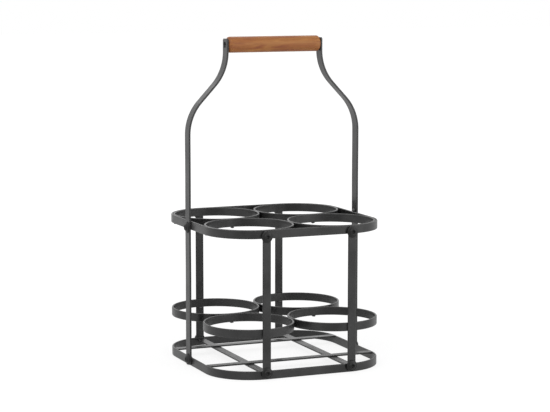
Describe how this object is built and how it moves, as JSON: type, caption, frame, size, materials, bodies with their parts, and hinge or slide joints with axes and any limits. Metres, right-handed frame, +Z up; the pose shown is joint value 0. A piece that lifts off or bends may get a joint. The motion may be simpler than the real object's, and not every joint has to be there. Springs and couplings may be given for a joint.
{
  "type": "bottle caddy",
  "caption": "Square carrier of dark painted iron strip with nested rings for bottles, a floor grid and a tall handle with a turned wooden grip.",
  "frame": {"origin": "on the floor, under the middle of the square base", "axes": "+Z up, +X to the right along the grip, the front at -Y"},
  "size_m": [0.2, 0.2, 0.3441],
  "materials": {
    "painted_strip": "satin",
    "rivets": "satin",
    "weld_beads": "satin",
    "grip_rod": "satin",
    "wood": "satin"
  },
  "bodies": {
    "frame": {"top_loop": "painted_strip", "base_loop": "painted_strip", "top_ring_front_left": "painted_strip", "top_ring_front_right": "painted_strip", "top_ring_back_left": "painted_strip", "top_ring_back_right": "painted_strip", "lower_ring_front_left": "painted_strip", "lower_ring_front_right": "painted_strip", "lower_ring_back_left": "painted_strip", "lower_ring_back_right": "painted_strip", "base_bar_front": "painted_strip", "base_bar_back": "painted_strip", "base_bar_left": "painted_strip", "base_bar_right": "painted_strip", "upright_front_left": "painted_strip", "upright_front_right": "painted_strip", "upright_back_left": "painted_strip", "upright_back_right": "painted_strip", "handle_strap_left": "painted_strip", "handle_strap_right": "painted_strip", "top_upright_rivets": "rivets", "base_upright_rivets": "rivets", "top_strap_rivets": "rivets", "base_strap_rivets": "rivets", "top_ring_welds": "weld_beads", "lower_ring_welds": "weld_beads", "base_bar_welds": "weld_beads", "handle_strap_welds": "weld_beads", "grip_rod": "grip_rod"},
    "grip": {"handle_grip": "wood"}
  },
  "joints": [
    {"name": "grip_spin", "type": "hinge", "parent": "frame", "child": "grip", "pos_m": [0, 0, 0.3357], "axis": [1, 0, 0], "continuous": true}
  ]
}
